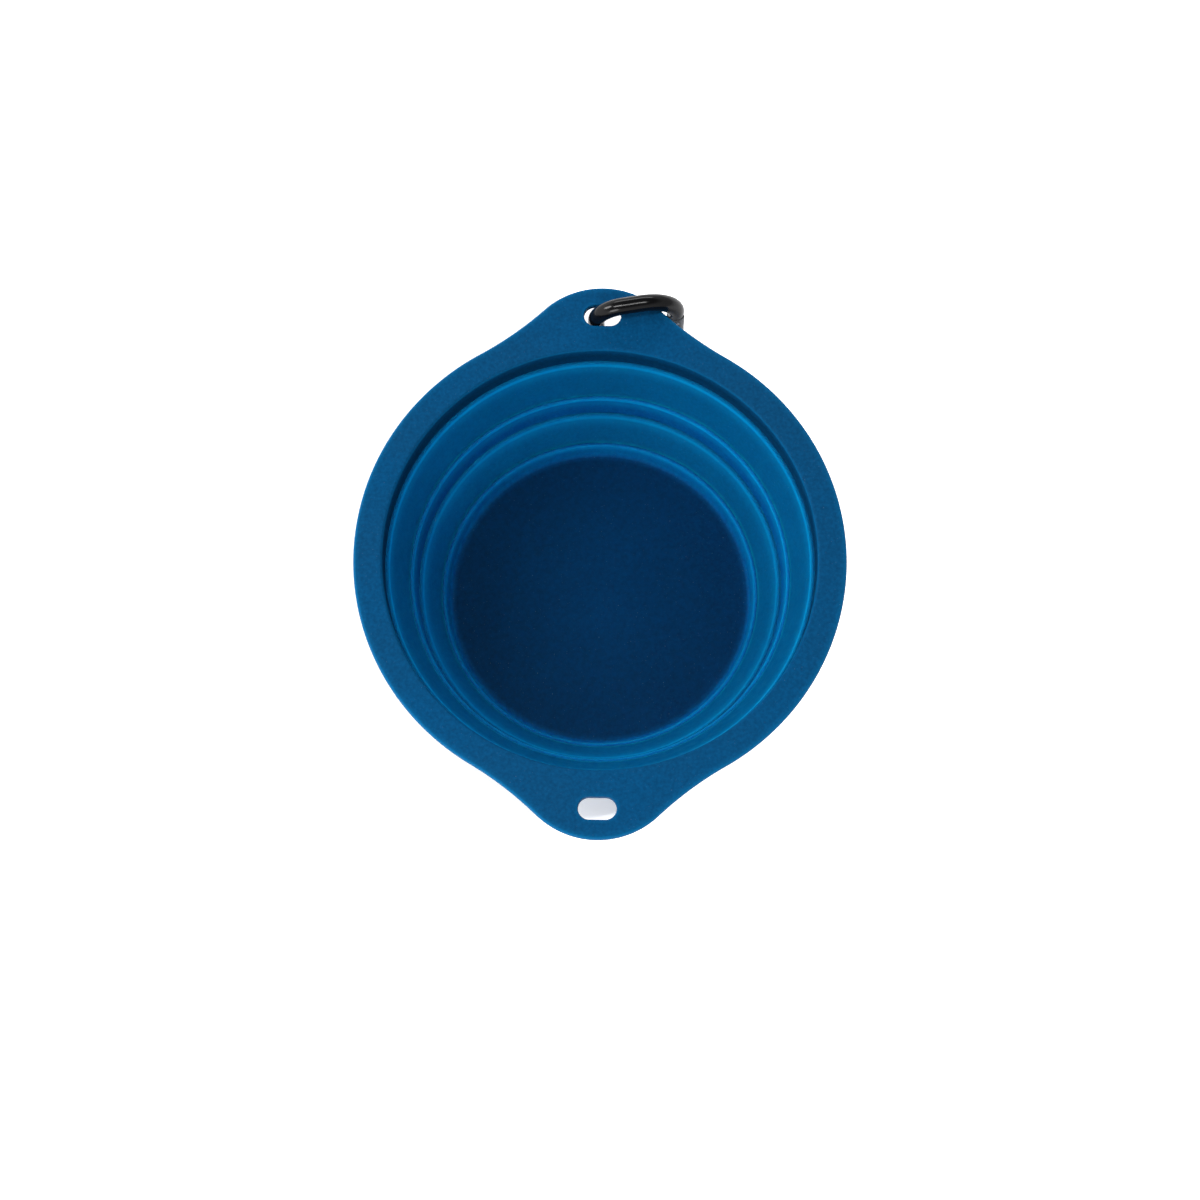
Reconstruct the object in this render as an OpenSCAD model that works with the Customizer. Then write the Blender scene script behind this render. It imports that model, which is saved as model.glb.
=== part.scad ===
// Collapsible travel bowl with two slotted tabs and a small carabiner.
// Origin: centre of the underside of the base. +Z is up, +Y runs to the tab that carries the carabiner.

/* [Bowl] */
// Radius of the round part of the rim
rim_r = 65; // [60:0.5:70]
// Height of the open bowl, from the underside to the top of the rim
bowl_h = 45; // [44:0.5:50]
// Thickness of the flat rim and its tabs
rim_t = 2.6; // [2:0.1:3]
// Wall thickness of the collar, the middle ring and the cup
wall_t = 2.2; // [1.8:0.1:2.6]
// Thickness of the two folding webs
web_t = 1.3; // [0.8:0.1:1.6]
// Thickness of the floor
floor_t = 3; // [2:0.1:3.4]

/* [Tabs] */
// Distance from the bowl's axis to a tab's tip
tab_reach = 75.5; // [74:0.5:78]
// Radius of a tab's rounded tip
tab_tip_r = 22.6; // [18:0.2:24]
// Radius of the hollow curve between a tab and the round rim
tab_fillet_r = 94; // [80:1:110]
// Distance from the bowl's axis to the centre of a tab's slot
slot_y = 67.4; // [66.8:0.1:67.6]
// Length of a slot, across the tab
slot_len = 10; // [9.6:0.1:11]
// Width of a slot
slot_w = 5.9; // [5.8:0.1:6.2]

/* [Carabiner] */
// Diameter of the carabiner's rod
rod_d = 4.6; // [4:0.1:4.8]
// Diameter of the gate
gate_d = 5; // [4.8:0.1:5.2]
// Distance between the centre lines of the spine and the gate
loop_w = 22; // [21.5:0.1:23]
// Overall length of the carabiner
loop_len = 50; // [48:0.5:50]
// Height of the top bar's centre line over the rim
bar_rise = 4.6; // [4:0.1:5]
// Angle between the carabiner and the tab, seen from above
loop_yaw = 10; // [8:0.5:14]

/* [Hidden] */
$fn = 96;

eps = 0.01;
fold_gap = 0.05;         // air between a web and the ring that moves away from it

// Inner radii and heights of the wall's zones, from the rim down to the floor
collar_top_r = rim_r - 7.6;
collar_low_r = rim_r - 7.9;
ring_top_r = rim_r - 14.4;
ring_low_r = rim_r - 15.5;
cup_top_r = rim_r - 22.1;
cup_low_r = rim_r - 23.1;
head_ledge = 0.65;       // a web's head stands in from the wall above it by this much
foot_ledge = 0.75;       // a web's foot stands back from the lip below it by this much
collar_low_z = bowl_h - 7.7;
ring_top_z = bowl_h - 20;
ring_low_z = bowl_h - 28.5;
cup_top_z = bowl_h - 37.4;
floor_fillet_r = 2;      // inside corner between the cup's wall and its floor
foot_edge_r = 1.2;       // rounding of the cup's lower outside edge
lip_r = 0.8;             // rounding of a ring's inner top edge

// Tab outline: the tip circle and the rim circle, joined by a circle that touches both
tip_y = tab_reach - tab_tip_r;
fillet_y = (pow(rim_r + tab_fillet_r, 2) - pow(tab_tip_r + tab_fillet_r, 2) + tip_y * tip_y) / (2 * tip_y);
fillet_x = sqrt(pow(rim_r + tab_fillet_r, 2) - fillet_y * fillet_y);
rim_touch = [fillet_x, fillet_y] * rim_r / (rim_r + tab_fillet_r);
tip_touch = [0, tip_y] + [fillet_x, fillet_y - tip_y] * tab_tip_r / (tab_tip_r + tab_fillet_r);

// Carabiner, in its own plane: u runs from the spine to the gate, w is the height over the rim
spine_x = -1.7;
spine_y = slot_y - 0.45;
top_spine_r = 7;         // corner radii of the rod's centre line
top_gate_r = 10;
low_spine_r = 8;
low_gate_r = 7.5;
bar_w = bar_rise;
low_w = bar_rise + rod_d - loop_len;
nose_w = -6;             // lower end of the nose, where the gate begins
pivot_w = -30.4;         // gate hinge
shoulder_w = pivot_w - 2.8;
gate_top_w = nose_w - 0.3;
pin_w = nose_w - 2.6;    // latch pin
rivet_d = 1.6;
pin_d = 1.4;
cross_len = 4.9;         // length of the rivet and of the latch pin
hinge_tongue_t = 1.9;
hinge_slot_w = 2.1;
hinge_slot_w1 = pivot_w + 3.5;
cam_h = 2.2;             // the hinge tongue's flat top over the hinge axis
cam_half = 2.2;
nose_tongue_t = 1.8;
nose_slot_w = 2;
nose_tongue_len = 5;
nose_tongue_half = 1.6;
notch_r = 0.85;
plunger_r = 1.1;
gate_bore_r = 1.18;
plunger_top_w = -22.6;
bore_top_w = -14;
running_gap = 0.05;

// Spring inside the gate
spring_wire_d = 0.4;
spring_r = 0.8;          // of the wire's centre line
spring_turns = 8;
spring_steps = 14;       // per turn
spring_sides = 6;

silicone = [0.02, 0.30, 0.50];
rim_blue = [0.08, 0.29, 0.48];
black = [0.06, 0.06, 0.07];
grey = [0.35, 0.37, 0.39];
steel = [0.72, 0.72, 0.74];

// Points of an arc about c, from angle a0 to a1
function arc(c, r, a0, a1, n = 6) =
    [for (i = [0:n]) c + r * [cos(a0 + (a1 - a0) * i / n), sin(a0 + (a1 - a0) * i / n)]];

// One tab: the tip circle and a wedge to the rim, less the two hollow curves beside it
module tab_outline() {
    difference() {
        union() {
            translate([0, tip_y]) circle(r = tab_tip_r);
            polygon([
                [0, 0], rim_touch, tip_touch, [-tip_touch.x, tip_touch.y], [-rim_touch.x, rim_touch.y]
            ]);
        }
        for (side = [-1, 1])
            translate([side * fillet_x, fillet_y]) circle(r = tab_fillet_r, $fn = 240);
    }
}

module slot_outline() {
    for (side = [-1, 1])
        translate([side * (slot_len - slot_w) / 2, 0]) circle(d = slot_w);
    square([slot_len - slot_w, slot_w], center = true);
}

// Flat rim with its two tabs, and the stiff collar under it
module rim() {
    color(rim_blue)
    union() {
        translate([0, 0, bowl_h - rim_t])
        linear_extrude(rim_t)
        difference() {
            union() {
                circle(r = rim_r, $fn = 240);
                tab_outline();
                mirror([0, 1]) tab_outline();
            }
            circle(r = collar_top_r + wall_t / 2, $fn = 240);
            for (side = [-1, 1])
                translate([0, side * slot_y]) slot_outline();
        }
        rotate_extrude($fn = 240)
        polygon([
            [collar_low_r, collar_low_z],
            [collar_low_r + wall_t, collar_low_z],
            [collar_top_r + wall_t, bowl_h - rim_t / 2],
            [collar_top_r + wall_t, bowl_h],
            [collar_top_r, bowl_h]
        ]);
    }
}

// Conical web between two rings: inner radius and height at its top and at its foot
module web(r1, z1, r0, z0) {
    run = web_t * norm([r1 - r0, z1 - z0]) / (z1 - z0);
    color(silicone)
    rotate_extrude($fn = 240)
    polygon([[r0, z0], [r0 + run, z0], [r1 + run, z1], [r1, z1]]);
}

module upper_fold_web() {
    web(collar_low_r - head_ledge, collar_low_z, ring_top_r + foot_ledge, ring_top_z + fold_gap);
}

module lower_fold_web() {
    web(ring_low_r - head_ledge, ring_low_z, cup_top_r + foot_ledge, cup_top_z + fold_gap);
}

// Stiff ring between the two webs
module middle_ring() {
    color(silicone)
    rotate_extrude($fn = 240)
    polygon(concat(
        [
            [ring_low_r, ring_low_z],
            [ring_low_r + wall_t, ring_low_z],
            [ring_top_r + wall_t, ring_top_z]
        ],
        arc([ring_top_r + lip_r, ring_top_z - lip_r], lip_r, 90, 180)
    ));
}

// Cup that the bowl stands on, with its flat floor
module base_cup() {
    color(silicone)
    rotate_extrude($fn = 240)
    polygon(concat(
        [[0, 0]],
        arc([cup_low_r + wall_t - foot_edge_r, foot_edge_r], foot_edge_r, -90, 0),
        [[cup_top_r + wall_t, cup_top_z]],
        arc([cup_top_r + lip_r, cup_top_z - lip_r], lip_r, 90, 180),
        arc([cup_low_r - floor_fillet_r, floor_t + floor_fillet_r], floor_fillet_r, 0, -90),
        [[0, floor_t]]
    ));
}

// Puts a shape drawn in the carabiner's plane (x = u, z = w) in its place on the tab
module in_loop() {
    translate([spine_x, spine_y, bowl_h]) rotate([0, 0, loop_yaw]) children();
}

// Straight stretch of rod along w
module rod_up(u, w0, w1, d = rod_d) {
    translate([u, 0, w0]) cylinder(d = d, h = w1 - w0);
}

// Straight stretch of rod along u
module rod_across(w, u0, u1) {
    translate([u0, 0, w]) rotate([0, 90, 0]) cylinder(d = rod_d, h = u1 - u0);
}

// Bent stretch of rod about (u, w), from angle a0 over sweep
module rod_bend(u, w, r, a0, sweep) {
    translate([u, 0, w]) rotate([90, 0, 0]) rotate([0, 0, a0])
        rotate_extrude(angle = sweep) translate([r, 0]) circle(d = rod_d, $fn = 48);
}

// Cylinder across the carabiner's plane
module cross_cylinder(u, w, r, len) {
    translate([u, len / 2, w]) rotate([90, 0, 0]) cylinder(r = r, h = len);
}

// Rod of the carabiner with its nose and its hinge tongue
module carabiner_body() {
    color(black)
    in_loop()
    difference() {
        union() {
            rod_up(loop_w, nose_w, bar_w - top_gate_r);
            rod_bend(loop_w - top_gate_r, bar_w - top_gate_r, top_gate_r, 0, 90);
            rod_across(bar_w, top_spine_r, loop_w - top_gate_r);
            rod_bend(top_spine_r, bar_w - top_spine_r, top_spine_r, 90, 90);
            rod_up(0, low_w + low_spine_r, bar_w - top_spine_r);
            rod_bend(low_spine_r, low_w + low_spine_r, low_spine_r, 180, 90);
            rod_across(low_w, low_spine_r, loop_w - low_gate_r);
            rod_bend(loop_w - low_gate_r, low_w + low_gate_r, low_gate_r, 270, 90);
            rod_up(loop_w, low_w + low_gate_r, shoulder_w);
            translate([loop_w - cam_half, -hinge_tongue_t / 2, shoulder_w - eps])
                cube([2 * cam_half, hinge_tongue_t, pivot_w + cam_h - shoulder_w + eps]);
            translate([loop_w - nose_tongue_half, -nose_tongue_t / 2, nose_w - nose_tongue_len])
                cube([2 * nose_tongue_half, nose_tongue_t, nose_tongue_len + eps]);
        }
        cross_cylinder(loop_w, pivot_w, rivet_d / 2, gate_d);
        cross_cylinder(loop_w, pin_w, notch_r, gate_d);
        translate([loop_w - gate_d, -gate_d / 2, pin_w - notch_r]) cube([gate_d, gate_d, 2 * notch_r]);
    }
}

// Sprung gate: a rod with a slot at each end and a bore for the spring
module gate() {
    color(grey)
    in_loop()
    difference() {
        union() {
            rod_up(loop_w, pivot_w, gate_top_w, gate_d);
            intersection() {
                rod_up(loop_w, pivot_w - gate_d, pivot_w, gate_d);
                cross_cylinder(loop_w, pivot_w, gate_d / 2, 2 * gate_d);
            }
        }
        translate([loop_w - gate_d, -hinge_slot_w / 2, pivot_w - gate_d])
            cube([2 * gate_d, hinge_slot_w, hinge_slot_w1 - pivot_w + gate_d]);
        translate([loop_w - gate_d, -nose_slot_w / 2, nose_w - nose_tongue_len - 0.6])
            cube([2 * gate_d, nose_slot_w, nose_tongue_len + 1]);
        rod_up(loop_w, pivot_w, bore_top_w, 2 * gate_bore_r);
        cross_cylinder(loop_w, pivot_w, rivet_d / 2 + running_gap, 2 * gate_d);
        cross_cylinder(loop_w, pin_w, pin_d / 2, 2 * gate_d);
    }
}

// Rivet that the gate turns on, held in the hinge tongue
module gate_rivet() {
    color(steel) in_loop() cross_cylinder(loop_w, pivot_w, rivet_d / 2, cross_len);
}

// Pin across the gate's free end, caught by the nose's notch
module latch_pin() {
    color(steel) in_loop() cross_cylinder(loop_w, pin_w, pin_d / 2, cross_len);
}

// Round-nosed plunger that rides on the hinge tongue's flat top
module gate_plunger() {
    tip_w = pivot_w + cam_h + plunger_r + 0.02;
    color(steel)
    in_loop() {
        translate([loop_w, 0, tip_w]) sphere(r = plunger_r, $fn = 48);
        rod_up(loop_w, tip_w, plunger_top_w, 2 * plunger_r);
    }
}

// Coil spring between the plunger and the end of the gate's bore
module gate_spring() {
    foot = plunger_top_w + spring_wire_d / 2 + running_gap;
    rise = bore_top_w - plunger_top_w - spring_wire_d - 2 * running_gap;
    count = spring_turns * spring_steps;
    points = [
        for (i = [0:count], k = [0:spring_sides - 1])
            let (turn = 360 * i / spring_steps, side = 360 * k / spring_sides,
                 out = spring_r + spring_wire_d / 2 * cos(side))
            [out * cos(turn), out * sin(turn), foot + rise * i / count + spring_wire_d / 2 * sin(side)]
    ];
    skin = [
        for (i = [0:count - 1], k = [0:spring_sides - 1])
            let (a = i * spring_sides, b = a + spring_sides, n = (k + 1) % spring_sides)
            [a + k, a + n, b + n, b + k]
    ];
    ends = [
        [for (k = [spring_sides - 1:-1:0]) k],
        [for (k = [0:spring_sides - 1]) count * spring_sides + k]
    ];
    color(steel)
    in_loop()
    translate([loop_w, 0, 0])
    polyhedron(points = points, faces = concat(skin, ends));
}

rim();
upper_fold_web();
middle_ring();
lower_fold_web();
base_cup();
carabiner_body();
gate();
gate_rivet();
latch_pin();
gate_plunger();
gate_spring();
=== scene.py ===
"""Collapsible silicone travel bowl with a small carabiner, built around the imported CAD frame.

Shapes are worked out in millimetres and turned into metres when a mesh is made."""

import math

import bmesh
import bpy
import numpy as np
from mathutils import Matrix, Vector, geometry


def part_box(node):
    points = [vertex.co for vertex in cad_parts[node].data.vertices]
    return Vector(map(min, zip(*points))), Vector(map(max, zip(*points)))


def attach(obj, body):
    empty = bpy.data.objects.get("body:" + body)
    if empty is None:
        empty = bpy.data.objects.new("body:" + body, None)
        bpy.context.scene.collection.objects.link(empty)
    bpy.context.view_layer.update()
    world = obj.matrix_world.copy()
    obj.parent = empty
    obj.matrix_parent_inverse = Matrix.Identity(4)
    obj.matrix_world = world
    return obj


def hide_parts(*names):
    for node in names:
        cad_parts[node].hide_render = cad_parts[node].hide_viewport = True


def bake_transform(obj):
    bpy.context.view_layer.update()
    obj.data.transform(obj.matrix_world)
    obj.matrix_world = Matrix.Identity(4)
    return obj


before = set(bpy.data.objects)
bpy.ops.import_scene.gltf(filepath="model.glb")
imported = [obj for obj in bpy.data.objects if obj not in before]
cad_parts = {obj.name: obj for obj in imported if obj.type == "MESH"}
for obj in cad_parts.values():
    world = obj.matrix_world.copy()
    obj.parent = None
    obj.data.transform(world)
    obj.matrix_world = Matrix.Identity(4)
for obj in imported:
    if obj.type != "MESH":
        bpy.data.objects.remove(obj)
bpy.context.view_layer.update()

MM = 0.001
TURN = 2 * math.pi


# ---------------------------------------------------------------- sizes, mm


def span(node):
    """Outer radius, lowest and highest z of a CAD node, in millimetres."""
    low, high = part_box(node)
    return high.x / MM, low.z / MM, high.z / MM


RIM_R, COLLAR_LOW_Z, BOWL_H = span("rim")
TAB_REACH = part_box("rim")[1].y / MM
RING_OUT_R, RING_LOW_Z, RING_TOP_Z = span("middle_ring")
CUP_OUT_R, _, CUP_TOP_Z = span("base_cup")

RIM_T = 2.6
WALL_T = 2.2
WEB_T = 1.3
FLOOR_T = 3.0
RIM_LOW_Z = BOWL_H - RIM_T
COLLAR_TOP_R = RIM_R - 7.6
COLLAR_LOW_R = RIM_R - 7.9
RING_TOP_R = RING_OUT_R - WALL_T
RING_LOW_R = RING_TOP_R - 1.1
CUP_TOP_R = CUP_OUT_R - WALL_T
CUP_LOW_R = CUP_TOP_R - 1.0
HEAD_LEDGE = 0.65  # how far a web's head stands in from the foot of the wall over it
FOOT_LEDGE = 0.75  # how far a web's foot stands out from the lip under it
FOLD_GAP = 0.05  # clearance under a web's foot
UPPER_TRAVEL = 19.0
LOWER_TRAVEL = 17.0

TAB_TIP_R = 22.6
TAB_FILLET_R = 94.0
SLOT_Y = 67.4
SLOT_LEN = 10.0
SLOT_W = 5.9

EDGE_R = 0.8  # rounding of the rim's outer and inner edges
SLOT_EDGE_R = 0.4
LIP_R = 0.5
WEB_HEAD_R = 0.4
CRISP_R = 0.12  # rounding of corners that only look sharp
EDGE_BORDER = 1.9  # width of the strip along the rim's edge that is meshed with it
SLOT_BORDER = 1.2

SEGMENTS = 360  # round the bowl
RIM_STEPS, FILLET_STEPS, TIP_STEPS = 90, 40, 36  # on each quarter of the rim's outline
SLOT_STEPS = 24  # on each end of a slot


# ------------------------------------------------------------- mesh helpers


def rounded(corners, steps=7, closed=True):
    """Profile through corners (r, z, radius), each corner rounded by its own radius."""
    points = []
    count = len(corners)
    for i, (r, z, radius) in enumerate(corners):
        here = np.array((r, z), float)
        if radius <= 0 or (not closed and i in (0, count - 1)):
            points.append(here)
            continue
        before = np.array(corners[i - 1][:2], float) - here
        after = np.array(corners[(i + 1) % count][:2], float) - here
        before /= np.linalg.norm(before)
        after /= np.linalg.norm(after)
        half = math.acos(max(-1.0, min(1.0, float(before @ after)))) / 2
        middle = before + after
        centre = here + middle / np.linalg.norm(middle) * radius / math.sin(half)
        start = here + before * radius / math.tan(half) - centre
        end = here + after * radius / math.tan(half) - centre
        sweep = math.atan2(start[0] * end[1] - start[1] * end[0], float(start @ end))
        for k in range(steps + 1):
            c, s = math.cos(sweep * k / steps), math.sin(sweep * k / steps)
            points.append(centre + (start[0] * c - start[1] * s, start[0] * s + start[1] * c))
    return points


def refined(points, step, closed=True):
    """The same profile with no stretch longer than step."""
    out = []
    count = len(points)
    for i in range(count if closed else count - 1):
        a, b = points[i], points[(i + 1) % count]
        cuts = max(1, math.ceil(np.linalg.norm(b - a) / step))
        out += [a + (b - a) * k / cuts for k in range(cuts)]
    if not closed:
        out.append(points[-1])
    return out


def painted_light_at(r, z, painted_light_lines):
    """Painted light at (r, z), standing in for light shining through thin silicone and catching its
    edges: 1 on a line (r, z, strength, width).
    """
    best = 0.0
    for lr, lz, strength, width in painted_light_lines:
        d = ((r - lr) ** 2 + (z - lz) ** 2) / width**2
        best = max(best, strength * math.exp(-d))
    return best


def ring_of(r, z):
    a = np.arange(SEGMENTS) * TURN / SEGMENTS
    return np.stack([r * np.cos(a), r * np.sin(a), np.full(SEGMENTS, z)], 1)


def strips(loops, closed=False):
    """Quads between neighbouring loops of equal length. Vertices are numbered loop by loop."""
    n = len(loops[0])
    faces = []
    pairs = len(loops) if closed else len(loops) - 1
    for j in range(pairs):
        a = j * n
        b = (j + 1) % len(loops) * n
        for i in range(n):
            k = (i + 1) % n
            faces.append((a + i, a + k, b + k, b + i))
    return faces


def make_mesh(name, verts, faces, glow, shade=None):
    """Closed smooth mesh in metres, with its painted light and painted shade kept on its vertices."""
    mesh = bpy.data.meshes.new(name)
    mesh.from_pydata([tuple(np.array(v) * MM) for v in verts], [], faces)
    mesh.validate()
    if shade is None:
        shade = [0.0] * len(verts)
    for kind, values in (("glow", glow), ("shade", shade)):
        attribute = mesh.attributes.new(kind, "FLOAT", "POINT")
        attribute.data.foreach_set("value", np.array(values, np.float32))
    mesh.shade_smooth()
    obj = bpy.data.objects.new(name, mesh)
    bpy.context.scene.collection.objects.link(obj)
    return obj


def face_out(obj):
    """Turns every face outwards."""
    bm = bmesh.new()
    bm.from_mesh(obj.data)
    bmesh.ops.recalc_face_normals(bm, faces=bm.faces[:])
    bm.to_mesh(obj.data)
    bm.free()


def flat_shading_weights(obj):
    """Big faces win over the small ones of a rounded edge, so flats stay flat."""
    m = obj.modifiers.new("normals", "WEIGHTED_NORMAL")
    m.mode = "FACE_AREA"
    m.weight = 60
    return obj


def revolved(name, profile, painted_light_lines, closed=True, shade=lambda r, z: 0.0):
    """Solid of revolution about z from a closed profile, or one that starts and ends on the axis."""
    body = profile if closed else profile[1:-1]
    loops = [ring_of(p[0], p[1]) for p in body]
    verts = [v for loop in loops for v in loop]
    glow = [painted_light_at(p[0], p[1], painted_light_lines) for p in body for _ in range(SEGMENTS)]
    dark = [shade(p[0], p[1]) for p in body for _ in range(SEGMENTS)]
    faces = strips(loops, closed=closed)
    if not closed:
        for tip, loop in ((profile[0], 0), (profile[-1], len(loops) - 1)):
            centre = len(verts)
            verts.append((0, 0, tip[1]))
            glow.append(0)
            dark.append(shade(0, tip[1]))
            start = loop * SEGMENTS
            faces += [
                (centre, start + i, start + (i + 1) % SEGMENTS) for i in range(SEGMENTS)
            ]
    obj = make_mesh(name, verts, faces, glow, dark)
    face_out(obj)
    return flat_shading_weights(obj)


# --------------------------------------------------------------- rim outline

TIP_Y = TAB_REACH - TAB_TIP_R
FILLET_Y = (
    (RIM_R + TAB_FILLET_R) ** 2 - (TAB_TIP_R + TAB_FILLET_R) ** 2 + TIP_Y**2
) / (2 * TIP_Y)
FILLET_X = math.sqrt((RIM_R + TAB_FILLET_R) ** 2 - FILLET_Y**2)


def outline(offset):
    """The rim's outline as seen from above, moved outwards by offset."""
    rim_end = math.atan2(FILLET_Y, FILLET_X)
    tip_start = math.atan2(FILLET_Y - TIP_Y, FILLET_X)
    quarter = []
    for k in range(RIM_STEPS):
        a = rim_end * k / RIM_STEPS
        quarter.append(((RIM_R + offset) * math.cos(a), (RIM_R + offset) * math.sin(a)))
    for k in range(FILLET_STEPS):
        a = math.pi + rim_end + (tip_start - rim_end) * k / FILLET_STEPS
        r = TAB_FILLET_R - offset
        quarter.append((FILLET_X + r * math.cos(a), FILLET_Y + r * math.sin(a)))
    for k in range(TIP_STEPS):
        a = tip_start + (math.pi / 2 - tip_start) * k / TIP_STEPS
        r = TAB_TIP_R + offset
        quarter.append((r * math.cos(a), TIP_Y + r * math.sin(a)))
    top = (0.0, TAB_REACH + offset)
    half = quarter + [top] + [(-x, y) for x, y in quarter[:0:-1]]
    return half + [(-x, -y) for x, y in half]


def slot(side, offset):
    """A tab's slot, with its edge moved outwards by offset."""
    points = []
    for end in (1, -1):
        for k in range(SLOT_STEPS + 1):
            a = math.pi * (k / SLOT_STEPS - 0.5)
            x = end * ((SLOT_LEN - SLOT_W) / 2 + (SLOT_W / 2 + offset) * math.cos(a))
            points.append((x, side * SLOT_Y + end * (SLOT_W / 2 + offset) * math.sin(a)))
    return points


def at_height(loop, z):
    return [(x, y, z) for x, y in loop]


def edge_steps(radius, z_top, z_low, steps=5):
    """(offset, z) down a rounded upright edge, from the top face round to the bottom face."""
    turn = [math.pi / 2 * k / steps for k in range(steps + 1)]
    top = [(-radius * (1 - math.sin(a)), z_top - radius * (1 - math.cos(a))) for a in turn]
    low = [(-radius * (1 - math.sin(a)), z_low + radius * (1 - math.cos(a))) for a in turn]
    return top + low[::-1]


def inside(loop, x, y):
    """Whether (x, y) lies inside a closed loop."""
    odd = False
    for (x0, y0), (x1, y1) in zip(loop, loop[1:] + loop[:1]):
        if (y0 > y) != (y1 > y) and x < x0 + (x1 - x0) * (y - y0) / (y1 - y0):
            odd = not odd
    return odd


def cap(outer, holes, z, up):
    """Triangles that fill outer less its holes at height z."""
    points, edges = [], []
    for loop in [outer] + holes:
        first = len(points)
        points += [Vector(p) for p in loop]
        edges += [(first + i, first + (i + 1) % len(loop)) for i in range(len(loop))]
    verts, _, faces, _, _, _ = geometry.delaunay_2d_cdt(points, edges, [], 1, 1e-6)
    out = []
    for f in faces:
        f = list(f)
        a, b, c = (verts[i] for i in f)
        middle = (a + b + c) / 3
        if any(inside(loop, middle.x, middle.y) for loop in holes):
            continue
        turn = (b - a).cross(c - a)
        out.append(f if (turn > 0) == up else f[::-1])
    return [(v.x, v.y, z) for v in verts], out


def parting_line(z):
    """(offset, z) over the fine ridge that the mould leaves half way down the rim's edge."""
    height, half_top, half_foot = 0.07, 0.05, 0.16
    return [
        (0.0, z + half_foot),
        (height, z + half_top),
        (height, z - half_top),
        (0.0, z - half_foot),
    ]


def collar_shade(r, z):
    """Painted shade on the collar's inner face, which lies in the rim's shadow: darkest a little under
    the rim's edge and paler further down.
    """
    if r >= COLLAR_TOP_R + 0.4:
        return 0.0
    depth = (BOWL_H - z) / (BOWL_H - COLLAR_LOW_Z)
    onset = max(0.0, min(0.66, 3.0 * (depth - 0.27)))
    return onset * (1.25 - 0.75 * depth)


def build_rim():
    """Flat rim with its two tabs and slots, and the collar under it, as one closed skin."""
    verts, faces, glow = [], [], []

    def add(new_verts, new_faces, new_painted_light):
        first = len(verts)
        verts.extend(tuple(v) for v in new_verts)
        faces.extend(tuple(first + i for i in f) for f in new_faces)
        glow.extend(new_painted_light)

    def add_loops(loops, loop_painted_light):
        """Strips between loops, each loop with its own painted light."""
        add(
            [v for loop in loops for v in loop],
            strips(loops),
            [g for g, loop in zip(loop_painted_light, loops) for _ in loop],
        )

    # outer edge, with a painted highlight along it
    steps = edge_steps(EDGE_R, BOWL_H, RIM_LOW_Z)
    mid = len(steps) // 2
    steps = steps[:mid] + parting_line(BOWL_H - RIM_T / 2) + steps[mid:]
    steps = [(-EDGE_BORDER, BOWL_H)] + steps + [(-EDGE_BORDER, RIM_LOW_Z)]
    loops = [at_height(outline(o), z) for o, z in steps]
    add_loops(loops, [0.8 * math.exp(-((o / 0.6) ** 2)) for o, _ in steps])

    # slots, with a faint painted highlight round their edges
    steps = edge_steps(SLOT_EDGE_R, BOWL_H, RIM_LOW_Z)
    steps = [(-SLOT_BORDER, BOWL_H)] + steps + [(-SLOT_BORDER, RIM_LOW_Z)]
    for side in (1, -1):
        loops = [at_height(slot(side, -o), z) for o, z in steps]
        add_loops(loops, [0.25 * math.exp(-((o / 0.5) ** 2)) for o, _ in steps])

    # inner edge, collar and the corner under the rim, with a painted highlight along the inner edge
    profile = rounded(
        [
            (COLLAR_TOP_R + 2.4, BOWL_H, 0),
            (COLLAR_TOP_R, BOWL_H, EDGE_R),
            (COLLAR_LOW_R, COLLAR_LOW_Z, CRISP_R),
            (COLLAR_LOW_R + WALL_T, COLLAR_LOW_Z, LIP_R),
            (COLLAR_TOP_R + WALL_T, RIM_LOW_Z, 0.9),
            (COLLAR_TOP_R + WALL_T + 1.6, RIM_LOW_Z, 0),
        ],
        closed=False,
    )
    profile = refined(profile, 0.9, closed=False)
    painted_light_lines = [(COLLAR_TOP_R + 0.05, BOWL_H - 0.5, 0.4, 0.3)]
    add_loops([ring_of(r, z) for r, z in profile], [painted_light_at(r, z, painted_light_lines) for r, z in profile])

    # the two flat faces
    for z, up, circle in ((BOWL_H, True, profile[0][0]), (RIM_LOW_Z, False, profile[-1][0])):
        holes = [[tuple(p[:2]) for p in ring_of(circle, z)]]
        holes += [slot(side, SLOT_BORDER) for side in (1, -1)]
        new_verts, new_faces = cap(outline(-EDGE_BORDER), holes, z, up)
        add(new_verts, new_faces, [0.0] * len(new_verts))

    # painted shade on the collar's inner face
    shade = [collar_shade(math.hypot(x, y), z) for x, y, z in verts]
    obj = make_mesh("bowl_rim", verts, faces, glow, shade)
    weld(obj)
    level_normals(obj, (BOWL_H, RIM_LOW_Z))
    return obj


def level_normals(obj, heights):
    """Keeps the flat faces at these heights flat in shading, up to the edge of their rounding."""
    normals = [v.normal.copy() for v in obj.data.vertices]
    for i, v in enumerate(obj.data.vertices):
        for z, way in zip(heights, (1.0, -1.0)):
            if abs(v.co.z / MM - z) < 1e-4:
                normals[i] = Vector((0, 0, way))
    obj.data.normals_split_custom_set_from_vertices(normals)


def weld(obj):
    """Joins the strips and faces into one closed skin."""
    bm = bmesh.new()
    bm.from_mesh(obj.data)
    bmesh.ops.remove_doubles(bm, verts=bm.verts[:], dist=2e-6)
    bmesh.ops.recalc_face_normals(bm, faces=bm.faces[:])
    bm.to_mesh(obj.data)
    bm.free()
    obj.data.shade_smooth()


# --------------------------------------------------------------- soft walls

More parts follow.
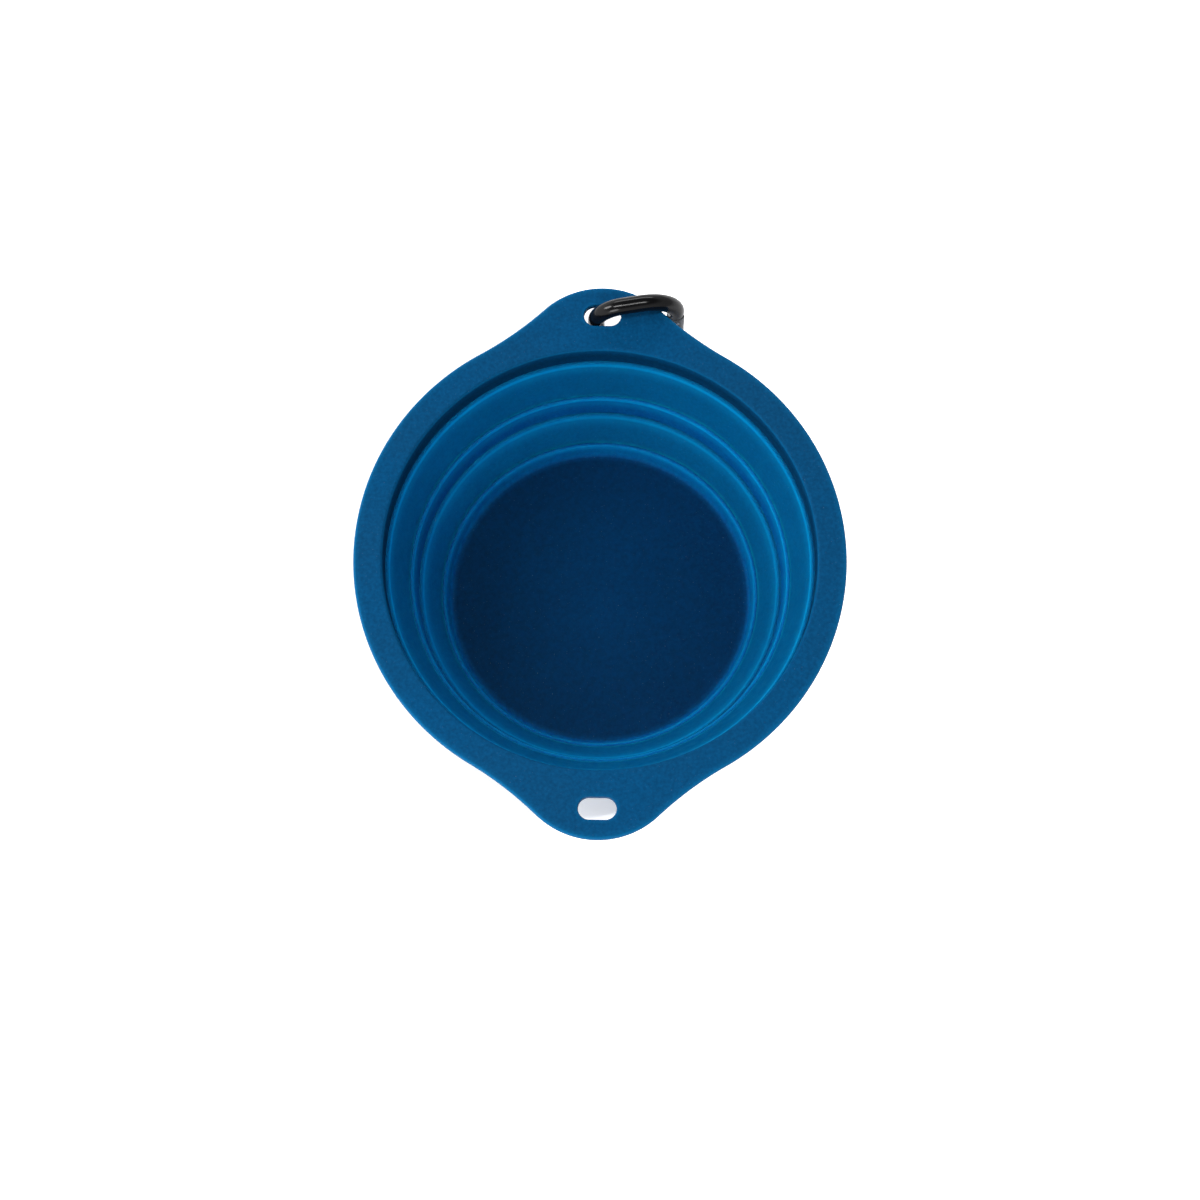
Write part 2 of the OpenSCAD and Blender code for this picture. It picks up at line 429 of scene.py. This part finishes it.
# How high a folded web stands over its head, as a share of its foot's height there, by the share of
# the way from head to foot: its inner face, which ends up on top, and its outer face
FOLDED_TOP = (
    (0, 0), (0.05, -0.03), (0.12, 0.17), (0.22, 0.64), (0.36, 1.05),
    (0.52, 1.22), (0.7, 1.26), (0.88, 1.17), (1, 1),
)
FOLDED_UNDER = (
    (0, 0), (0.07, -0.17), (0.25, -0.26), (0.42, -0.18),
    (0.6, 0.12), (0.78, 0.64), (0.89, 0.9), (1, 1),
)


def smooth_curve(knots, t):
    """Smooth curve through knots, without overshoot between them."""
    x = np.array([k[0] for k in knots], float)
    y = np.array([k[1] for k in knots], float)
    h, d = np.diff(x), np.diff(y) / np.diff(x)
    slope = np.zeros(len(x))
    slope[0], slope[-1] = d[0], d[-1]
    for i in range(1, len(x) - 1):
        if d[i - 1] * d[i] > 0:
            a, b = 2 * h[i] + h[i - 1], h[i] + 2 * h[i - 1]
            slope[i] = (a + b) / (a / d[i - 1] + b / d[i])
    i = np.clip(np.searchsorted(x, t) - 1, 0, len(h) - 1)
    u = (t - x[i]) / h[i]
    return (
        y[i] * (1 + 2 * u) * (1 - u) ** 2
        + slope[i] * h[i] * u * (1 - u) ** 2
        + y[i + 1] * u**2 * (3 - 2 * u)
        + slope[i + 1] * h[i] * u**2 * (u - 1)
    )


def build_web(name, head_r, head_z, foot_r, foot_z, travel):
    """Thin cone between two rings. The height each point would have once folded is worked out, but the
    cone is left as it is."""
    run = WEB_T * math.hypot(head_r - foot_r, head_z - foot_z) / (head_z - foot_z)
    profile = rounded(
        [
            (head_r, head_z, WEB_HEAD_R),
            (foot_r, foot_z, 0.1),
            (foot_r + run, foot_z, CRISP_R),
            (head_r + run, head_z, CRISP_R),
        ]
    )
    profile = refined(profile, 0.45)
    # painted light: a bright line just under the head, a paler tail down the cone and a line at the
    # foot; painted shade on the ledge behind the head
    painted_light_lines = [
        (head_r, head_z - 0.95, 0.9, 0.6),
        (head_r, head_z - 1.8, 0.2, 1.8),
        (foot_r, foot_z, 0.5, 0.7),
    ]
    obj = revolved(name, profile, painted_light_lines, shade=ledge_shade(head_r, head_z, shade=0.4))
    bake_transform(obj)
    co = np.array([v.co for v in obj.data.vertices], float) / MM
    r, z = np.hypot(co[:, 0], co[:, 1]), co[:, 2]
    along = np.clip((head_z - z) / (head_z - foot_z), 0, 1)
    across = np.clip((r - (head_r + (foot_r - head_r) * along)) / run, 0, 1)
    rise = foot_z + travel - head_z
    folded = head_z + rise * (
        smooth_curve(FOLDED_TOP, along) * (1 - across) + smooth_curve(FOLDED_UNDER, along) * across
    )
    return obj


def ledge_shade(lip_r, lip_z, shade=0.2):
    """Painted shade on the level ledge behind a fold's lip, which makes it darker than the lip."""
    return lambda r, z: shade if z > lip_z - 0.08 and r > lip_r + 0.2 else 0.0


def build_ring():
    profile = rounded(
        [
            (RING_LOW_R, RING_LOW_Z, CRISP_R),
            (RING_LOW_R + WALL_T, RING_LOW_Z, LIP_R),
            (RING_OUT_R, RING_TOP_Z, CRISP_R),
            (RING_TOP_R, RING_TOP_Z, LIP_R),
        ]
    )
    # painted light along the lip and fading down the inner wall; painted shade on the ledge behind the
    # lip
    painted_light_lines = [
        (RING_TOP_R, RING_TOP_Z - 0.8, 0.85, 0.6),
        (RING_TOP_R, RING_TOP_Z - 2.0, 0.28, 2.2),
    ]
    shade = ledge_shade(RING_TOP_R, RING_TOP_Z)
    return revolved("bowl_middle_ring", refined(profile, 0.5), painted_light_lines, shade=shade)


def cup_shade(r, z):
    """Painted shade on the floor, which lies deep in the bowl and gets less light than the walls:
    darker than them, most of all near them.
    """
    if z > CUP_TOP_Z - 1:
        return ledge_shade(CUP_TOP_R, CUP_TOP_Z)(r, z)
    middle, more_near_wall, near_wall_r = 0.84, 0.14, 34.0
    floor_r = CUP_LOW_R - 0.3
    on_floor = max(0.0, min(1.0, floor_r - r))
    return on_floor * (middle + more_near_wall * min(1.0, r / near_wall_r))


def build_cup():
    profile = rounded(
        [
            (0, 0, 0),
            (CUP_LOW_R + WALL_T, 0, 1.2),
            (CUP_OUT_R, CUP_TOP_Z, CRISP_R),
            (CUP_TOP_R, CUP_TOP_Z, LIP_R),
            (CUP_LOW_R, FLOOR_T, 1.3),
            (0, FLOOR_T, 0),
        ],
        steps=9,
        closed=False,
    )
    # painted light along the lip, fading down the inner wall, and a faint line where the floor meets
    # the wall
    painted_light_lines = [
        (CUP_TOP_R, CUP_TOP_Z - 0.8, 0.78, 0.6),
        (CUP_TOP_R, CUP_TOP_Z - 2.0, 0.22, 2.0),
        (CUP_LOW_R - 0.1, FLOOR_T + 0.9, 0.18, 0.6),
    ]
    profile = refined(profile, 1.0, closed=False)
    return revolved("bowl_base", profile, painted_light_lines, closed=False, shade=cup_shade)


# ------------------------------------------------------------------- spring


def build_spring(wire_d=0.4, turns=8, steps=30, sides=10):
    """Compression spring with a closed coil at each end."""
    low, high = (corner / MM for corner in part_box("gate_spring"))
    centre = (low + high) / 2
    wire_r = wire_d / 2
    closed_pitch = wire_d * 1.04
    coil_r = (high.x - low.x) / 2 - wire_r
    foot, top = low.z + wire_r, high.z - wire_r
    pitch = (top - foot - 2 * closed_pitch) / (turns - 2)
    loops = []
    for i in range(turns * steps + 1):
        turn = i / steps
        closed_turns = min(turn, 1) + max(0, turn - turns + 1)
        open_turns = min(max(turn, 1), turns - 1) - 1
        height = closed_turns * closed_pitch + open_turns * pitch
        a = TURN * turn
        loops.append([])
        for k in range(sides):
            out = coil_r + wire_r * math.cos(TURN * k / sides)
            z = foot + height + wire_r * math.sin(TURN * k / sides)
            loops[-1].append((centre.x + out * math.cos(a), centre.y + out * math.sin(a), z))
    verts = [v for loop in loops for v in loop]
    last = len(verts) - sides
    faces = strips(loops) + [tuple(range(sides)), tuple(range(last, last + sides))]
    obj = make_mesh("gate_coil", verts, faces, [0.0] * len(verts))
    face_out(obj)
    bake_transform(obj)
    return obj


# ---------------------------------------------------------------- materials


class Nodes:
    """Short calls for wiring one material's node tree. Places and bump heights are in metres."""

    def __init__(self, name):
        self.material = bpy.data.materials.new(name)
        self.material.use_nodes = True
        self.tree = self.material.node_tree
        self.shader = self.tree.nodes["Principled BSDF"]
        self.place = self.tree.nodes.new("ShaderNodeTexCoord").outputs["Object"]

    def link(self, value, socket):
        if isinstance(value, bpy.types.NodeSocket):
            self.tree.links.new(value, socket)
        else:
            socket.default_value = value

    def set(self, **values):
        for name, value in values.items():
            self.link(value, self.shader.inputs[name.replace("_", " ")])

    def noise(self, scale, detail, rough=0.5, place=None):
        """Noise from 0 to 1, with about scale lumps to the metre."""
        n = self.tree.nodes.new("ShaderNodeTexNoise")
        self.link(place or self.place, n.inputs["Vector"])
        n.inputs["Scale"].default_value = scale
        n.inputs["Detail"].default_value = detail
        n.inputs["Roughness"].default_value = rough
        return n.outputs["Fac"]

    def stretched(self, scale, place=None):
        n = self.tree.nodes.new("ShaderNodeMapping")
        self.link(place or self.place, n.inputs["Vector"])
        n.inputs["Scale"].default_value = scale
        return n.outputs["Vector"]

    def span(self, value, low, high, to_low=0.0, to_high=1.0):
        """Value, with low to high stretched to to_low to to_high and held there beyond."""
        n = self.tree.nodes.new("ShaderNodeMapRange")
        for socket, v in zip(n.inputs, (value, low, high, to_low, to_high)):
            self.link(v, socket)
        return n.outputs["Result"]

    def maths(self, kind, a, b):
        n = self.tree.nodes.new("ShaderNodeMath")
        n.operation = kind
        self.link(a, n.inputs[0])
        self.link(b, n.inputs[1])
        return n.outputs[0]

    def mix(self, fac, a, b, kind="MIX"):
        n = self.tree.nodes.new("ShaderNodeMix")
        n.data_type = "RGBA"
        n.blend_type = kind
        self.link(fac, n.inputs["Factor"])
        colour_a, colour_b, colour_out = n.inputs[6], n.inputs[7], n.outputs[2]
        self.link(a, colour_a)
        self.link(b, colour_b)
        return colour_out

    def attribute(self, name):
        n = self.tree.nodes.new("ShaderNodeAttribute")
        n.attribute_name = name
        return n.outputs["Fac"]

    def bump(self, height, distance, strength, normal=None):
        n = self.tree.nodes.new("ShaderNodeBump")
        n.inputs["Strength"].default_value = strength
        n.inputs["Distance"].default_value = distance
        self.link(height, n.inputs["Height"])
        if normal is not None:
            self.link(normal, n.inputs["Normal"])
        return n.outputs["Normal"]


def rgb(r, g, b):
    return (r, g, b, 1.0)


def silicone(name, base, dark, glow, speckle, roughness, depth):
    """Matte moulded silicone: cloudy pigment, fine speckle, dust, painted shade where the mesh marks
    it, and painted light, a paler blue, standing in for light through thin silicone and on its edges.
    """
    n = Nodes(name)
    cloud = n.span(n.noise(38, 3), 0.3, 0.7)
    colour = n.mix(cloud, dark, base)
    grain = n.span(n.noise(1150, 2, 0.6), 0.3, 0.7, 1 - speckle, 1 + speckle)
    colour = n.mix(1.0, colour, grain, "MULTIPLY")
    # painted shade: the colour darkens towards this tone where the mesh marks shade
    shaded = n.mix(1.0, colour, rgb(0.4, 0.26, 0.29), "MULTIPLY")
    colour = n.mix(n.attribute("shade"), colour, shaded)
    # painted light: the colour turns paler where the mesh marks painted light
    colour = n.mix(n.attribute("glow"), colour, glow)
    dust = n.span(n.noise(2600, 1), 0.735, 0.78, 0.0, 0.15)
    colour = n.mix(dust, colour, rgb(0.30, 0.38, 0.48))
    rough = n.span(n.noise(420, 3), 0.25, 0.75, roughness - 0.07, roughness + 0.07)
    skin = n.bump(n.noise(2300, 3, 0.6), 0.00004, 0.5)
    skin = n.bump(n.noise(260, 2), 0.00008, 0.35, skin)
    n.set(
        Base_Color=colour,
        Roughness=rough,
        Normal=skin,
        Specular_IOR_Level=0.12,
        Specular_Tint=rgb(0.15, 0.5, 1.0),
        Subsurface_Weight=1.0 if depth else 0.0,
        Subsurface_Radius=(0.1, 0.85, 1.0),
        Subsurface_Scale=depth,
    )
    return n.material


def coated_black(name):
    """Glossy black coating over drawn rod, with hairline wear."""
    n = Nodes(name)
    hair = n.noise(900, 4, 0.7, n.stretched((1, 1, 0.08)))
    wear = n.span(hair, 0.66, 0.78, 0.0, 0.3)
    colour = n.mix(wear, rgb(0.0025, 0.0025, 0.003), rgb(0.014, 0.014, 0.016))
    rough = n.span(n.noise(600, 3), 0.3, 0.7, 0.16, 0.2)
    n.set(
        Base_Color=colour,
        Roughness=rough,
        Specular_IOR_Level=0.12,
        Coat_Weight=0.4,
        Coat_Roughness=0.12,
        Normal=n.bump(n.noise(500, 2), 0.00001, 0.1),
    )
    return n.material


def satin_grey(name):
    """Satin grey gate, brushed along its length."""
    n = Nodes(name)
    brushed = n.noise(1400, 3, 0.6, n.stretched((1, 1, 0.05)))
    colour = n.mix(n.span(brushed, 0.3, 0.7), rgb(0.085, 0.093, 0.1), rgb(0.13, 0.14, 0.15))
    n.set(
        Base_Color=colour,
        Metallic=0.55,
        Roughness=n.span(brushed, 0.3, 0.7, 0.34, 0.46),
        Normal=n.bump(brushed, 0.00002, 0.35),
    )
    return n.material


def pin_steel(name):
    """Bright drawn steel, lightly scuffed."""
    n = Nodes(name)
    scuff = n.noise(2200, 3)
    n.set(
        Base_Color=n.mix(n.span(scuff, 0.3, 0.7), rgb(0.5, 0.5, 0.52), rgb(0.66, 0.66, 0.68)),
        Metallic=1.0,
        Roughness=n.span(scuff, 0.3, 0.7, 0.2, 0.34),
        Normal=n.bump(scuff, 0.00001, 0.3),
    )
    return n.material


def dress(obj, material):
    obj.data.materials.clear()
    obj.data.materials.append(material)


# -------------------------------------------------------------------- build

rim_silicone = silicone(
    "rim_silicone",
    base=rgb(0.0008, 0.053, 0.147),
    dark=rgb(0.0020, 0.049, 0.130),
    glow=rgb(0.003, 0.15, 0.36),
    speckle=0.17,
    roughness=0.55,
    depth=0.0,
)
# the same silicone as the rim, made paler as painted light standing in for light shining through the
# thin webs
web_silicone = silicone(
    "web_silicone",
    base=rgb(0.0008, 0.084, 0.206),
    dark=rgb(0.0006, 0.075, 0.186),
    glow=rgb(0.001, 0.31, 0.62),
    speckle=0.1,
    roughness=0.5,
    depth=0.005,
)
# the same silicone again, paler still: painted light making up for the light the ring and cup walls
# lack deep in the bowl
wall_silicone = silicone(
    "wall_silicone",
    base=rgb(0.0008, 0.086, 0.280),
    dark=rgb(0.0006, 0.078, 0.258),
    glow=rgb(0.001, 0.33, 0.66),
    speckle=0.16,
    roughness=0.5,
    depth=0.005,
)

rim = build_rim()
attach(rim, "rim")
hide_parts("rim")
dress(rim, rim_silicone)

upper_web = build_web(
    "bowl_upper_web",
    head_r=COLLAR_LOW_R - HEAD_LEDGE,
    head_z=COLLAR_LOW_Z,
    foot_r=RING_TOP_R + FOOT_LEDGE,
    foot_z=RING_TOP_Z + FOLD_GAP,
    travel=UPPER_TRAVEL,
)
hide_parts("upper_fold_web")
dress(upper_web, web_silicone)

middle = build_ring()
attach(middle, "middle_ring")
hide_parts("middle_ring")
dress(middle, wall_silicone)

lower_web = build_web(
    "bowl_lower_web",
    head_r=RING_LOW_R - HEAD_LEDGE,
    head_z=RING_LOW_Z,
    foot_r=CUP_TOP_R + FOOT_LEDGE,
    foot_z=CUP_TOP_Z + FOLD_GAP,
    travel=LOWER_TRAVEL,
)
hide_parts("lower_fold_web")
dress(lower_web, web_silicone)

cup = build_cup()
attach(cup, "base")
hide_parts("base_cup")
dress(cup, wall_silicone)

black = coated_black("carabiner_black")
grey = satin_grey("gate_grey")
steel = pin_steel("pin_steel")
for node, material, slot_name in (
    ("carabiner_body", black, "black_anodised"),
    ("gate", grey, "grey_anodised"),
    ("gate_rivet", steel, "pin_steel"),
    ("latch_pin", steel, "pin_steel"),
    ("gate_plunger", steel, "pin_steel"),
):
    dress(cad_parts[node], material)

spring = build_spring()
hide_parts("gate_spring")
dress(spring, steel)


# -------------------------------------------------------------------- stage


def studio_floor():
    """Large pale floor. To the camera it glows pure white outside an oval that the bowl covers, so
    its shadow shows only in there: through the slots, and under the bowl in side views."""
    side = 6.0
    oval_centre, oval_half_x, oval_half_y = (-0.008, 0.014, 0.0), 0.064, 0.076
    inner_glow, outer_glow = 0.18, 1.1
    mesh = bpy.data.meshes.new("studio_floor")
    corners = [(x * side, y * side, 0) for x, y in ((-1, -1), (1, -1), (1, 1), (-1, 1))]
    mesh.from_pydata(corners, [], [(0, 1, 2, 3)])
    floor = bpy.data.objects.new("studio_floor", mesh)
    bpy.context.scene.collection.objects.link(floor)
    n = Nodes("studio_floor")
    seen = n.tree.nodes.new("ShaderNodeLightPath").outputs["Is Camera Ray"]
    shift = n.tree.nodes.new("ShaderNodeVectorMath")
    shift.operation = "SUBTRACT"
    n.link(n.place, shift.inputs[0])
    shift.inputs[1].default_value = oval_centre
    reach = n.tree.nodes.new("ShaderNodeVectorMath")
    reach.operation = "LENGTH"
    n.link(n.stretched((1 / oval_half_x, 1 / oval_half_y, 1.0), shift.outputs[0]), reach.inputs[0])
    glow = n.span(reach.outputs["Value"], 0.998, 1.03, inner_glow, outer_glow)
    n.set(
        Base_Color=rgb(0.93, 0.93, 0.94),
        Roughness=0.9,
        Specular_IOR_Level=0.1,
        Emission_Color=rgb(1.0, 1.0, 1.0),
        Emission_Strength=n.maths("MULTIPLY", seen, glow),
    )
    mesh.materials.append(n.material)


def soft_light(name, place, target, size, power, slim=None):
    """Round softbox, or a strip that is size wide and slim high."""
    data = bpy.data.lights.new(name, "AREA")
    data.shape = "RECTANGLE" if slim else "DISK"
    data.size = size
    if slim:
        data.size_y = slim
    data.energy = power
    lamp = bpy.data.objects.new(name, data)
    lamp.location = place
    lamp.rotation_mode = "QUATERNION"
    lamp.rotation_quaternion = (Vector(place) - Vector(target)).to_track_quat("Z", "Y")
    bpy.context.scene.collection.objects.link(lamp)


def studio_world(walls, ceiling, window):
    """White light tent: bright side walls, brighter by the share window towards -x, and a dimmer
    ceiling."""
    dim_from, dim_to = 0.4, 0.8
    world = bpy.data.worlds.new("studio")
    world.use_nodes = True
    tree = world.node_tree
    back = tree.nodes["Background"]
    split = tree.nodes.new("ShaderNodeSeparateXYZ")
    fade = tree.nodes.new("ShaderNodeMapRange")
    place = tree.nodes.new("ShaderNodeTexCoord")
    fade.interpolation_type = "SMOOTHSTEP"
    tree.links.new(place.outputs["Generated"], split.inputs[0])
    tree.links.new(split.outputs["Z"], fade.inputs["Value"])
    limits = {"From Min": dim_from, "From Max": dim_to, "To Min": walls, "To Max": ceiling}
    for name, value in limits.items():
        fade.inputs[name].default_value = value
    lean = tree.nodes.new("ShaderNodeMath")
    lean.operation = "MULTIPLY_ADD"
    lean.inputs[1].default_value, lean.inputs[2].default_value = -window, 1.0
    tree.links.new(split.outputs["X"], lean.inputs[0])
    total = tree.nodes.new("ShaderNodeMath")
    total.operation = "MULTIPLY"
    tree.links.new(fade.outputs["Result"], total.inputs[0])
    tree.links.new(lean.outputs[0], total.inputs[1])
    tree.links.new(total.outputs[0], back.inputs["Strength"])
    back.inputs["Color"].default_value = rgb(1.0, 1.0, 1.0)
    bpy.context.scene.world = world


def add_camera():
    """Looks down at the rim's centre from 650 mm, and shows it a little above the frame's middle."""
    elevation, azimuth, distance = math.radians(73.95), math.radians(0.6), 0.650
    sensor_mm, focal_mm, raised_mm = 36.0, 74.1, 1.35
    centre = Vector((0, 0, BOWL_H * MM))
    back = Vector((
        math.sin(azimuth) * math.cos(elevation),
        -math.cos(azimuth) * math.cos(elevation),
        math.sin(elevation),
    ))
    place = centre + back * distance
    turn = back.to_track_quat("Z", "Y")
    aim = centre - turn @ Vector((0, 1, 0)) * distance * raised_mm / focal_mm
    data = bpy.data.cameras.new("camera")
    data.sensor_width = sensor_mm
    data.lens = focal_mm
    data.clip_start, data.clip_end = 0.01, 20
    camera = bpy.data.objects.new("camera", data)
    camera.location = place
    camera.rotation_mode = "QUATERNION"
    camera.rotation_quaternion = (place - aim).to_track_quat("Z", "Y")
    bpy.context.scene.collection.objects.link(camera)
    bpy.context.scene.camera = camera


studio_floor()
studio_world(walls=0.85, ceiling=0.12, window=0.45)
bowl = (0, 0, 0.03)
soft_light("key", (-0.70, 0.14, 0.74), bowl, size=0.42, power=4.4)
soft_light("back_strip", (0.0, 0.95, 0.58), bowl, size=0.8, power=2.2, slim=0.2)
soft_light("front_fill", (-0.22, -0.86, 0.60), bowl, size=0.5, power=3.0)
# these two look almost straight down, a little towards +y, so that their long side lies along x
soft_light("top_left", (-0.20, -0.08, 1.1), (-0.20, 0.12, 0.03), size=0.5, power=4.4, slim=0.22)
soft_light("top_right", (0.24, -0.10, 1.1), (0.24, 0.10, 0.03), size=0.3, power=2.0, slim=0.18)
add_camera()
bpy.context.scene.view_settings.view_transform = "Standard"
